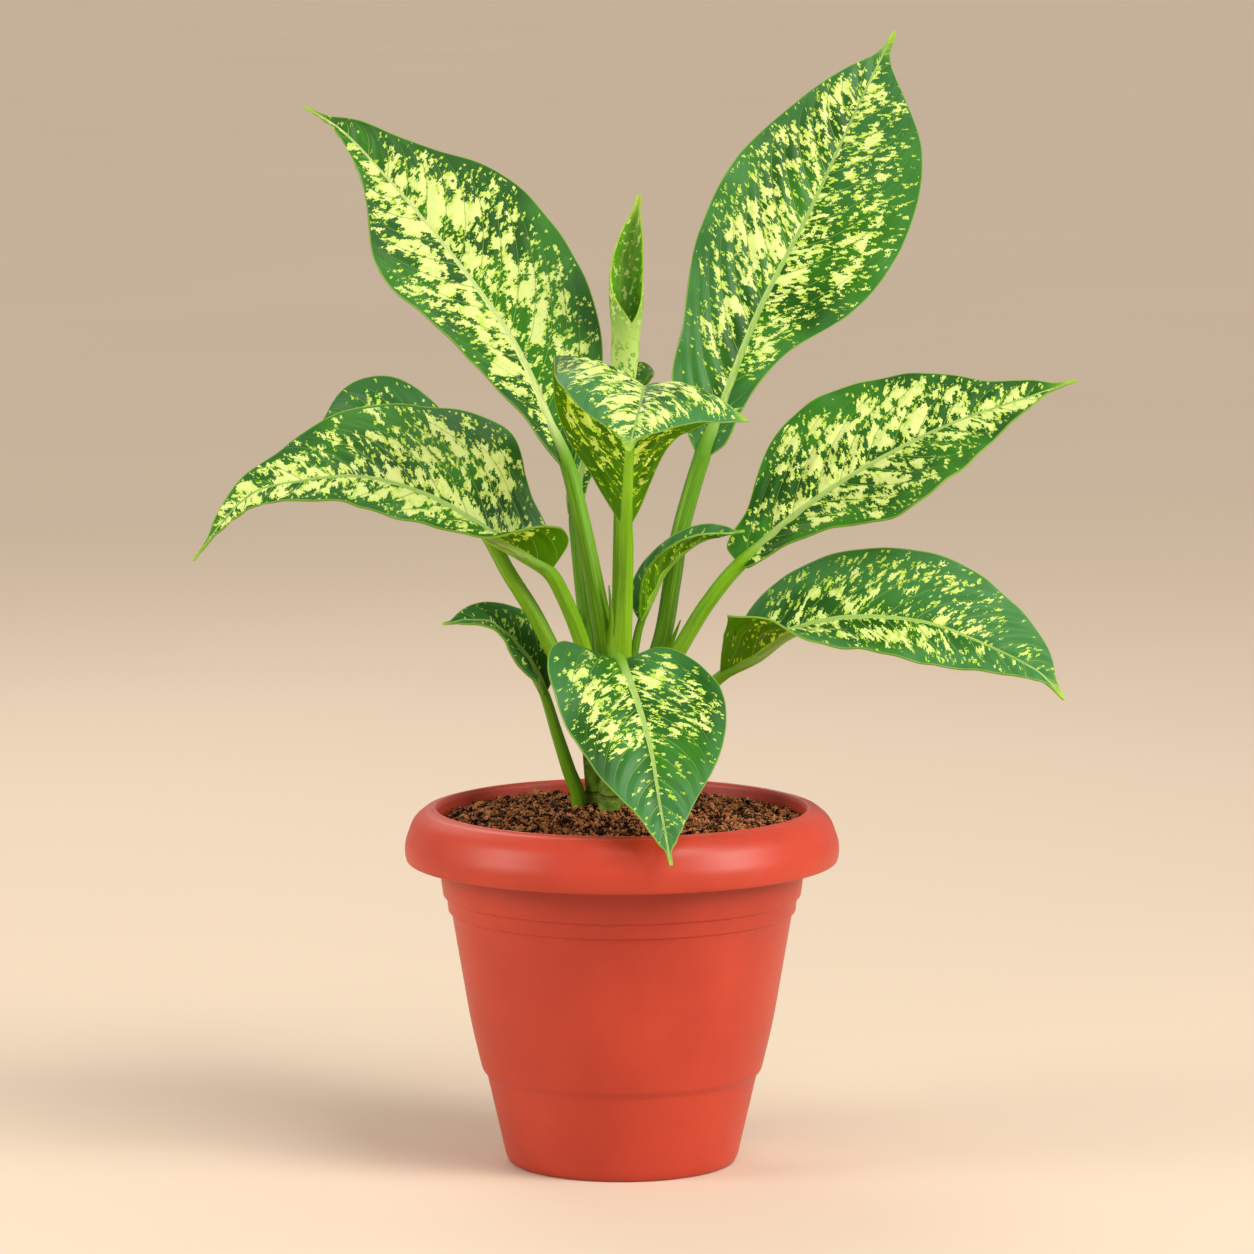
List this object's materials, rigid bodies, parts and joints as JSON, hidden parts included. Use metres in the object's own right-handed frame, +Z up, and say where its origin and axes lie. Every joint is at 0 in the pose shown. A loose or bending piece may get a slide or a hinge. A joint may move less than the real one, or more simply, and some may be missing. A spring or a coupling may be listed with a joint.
{
  "type": "potted chinese evergreen",
  "caption": "Potted foliage plant with large pointed, cream-spotted green leaves on upright stalks, growing from soil in a round tapered plastic pot with a rolled collar rim.",
  "frame": {"origin": "centre of the flat underside of the pot", "axes": "+Z up along the pot's axis, the plant's tallest direction; -Y is the front, where the lowest broad leaf hangs over the rim; +X is the viewer's right"},
  "size_m": [0.4018, 0.2401, 0.5193],
  "materials": {
    "pot": "satin terracotta-red plastic",
    "soil": "rough crumbly dark brown potting soil",
    "cane": "green living stem, satin",
    "petiole": "bright green leaf stalk, satin",
    "blade": "glossy dark green leaf with cream-yellow spots and a pale midrib",
    "spear": "pale yellow-green rolled young leaf, satin"
  },
  "bodies": {
    "root": {"pot": "pot", "soil": "soil", "cane_front": "cane", "cane_back": "cane", "petiole_upper_left": "petiole", "petiole_upper_right": "petiole", "petiole_right": "petiole", "petiole_lower_right": "petiole", "petiole_center": "petiole", "petiole_left": "petiole", "petiole_left_back": "petiole", "petiole_small_left": "petiole", "petiole_front": "petiole", "petiole_small_right": "petiole", "petiole_back": "petiole", "petiole_new": "petiole", "leaf_upper_left": "blade", "leaf_upper_right": "blade", "leaf_right": "blade", "leaf_lower_right": "blade", "leaf_center": "blade", "leaf_left": "blade", "leaf_left_back": "blade", "leaf_small_left": "blade", "leaf_front": "blade", "leaf_small_right": "blade", "leaf_back": "blade", "leaf_new": "spear"}
  },
  "joints": []
}
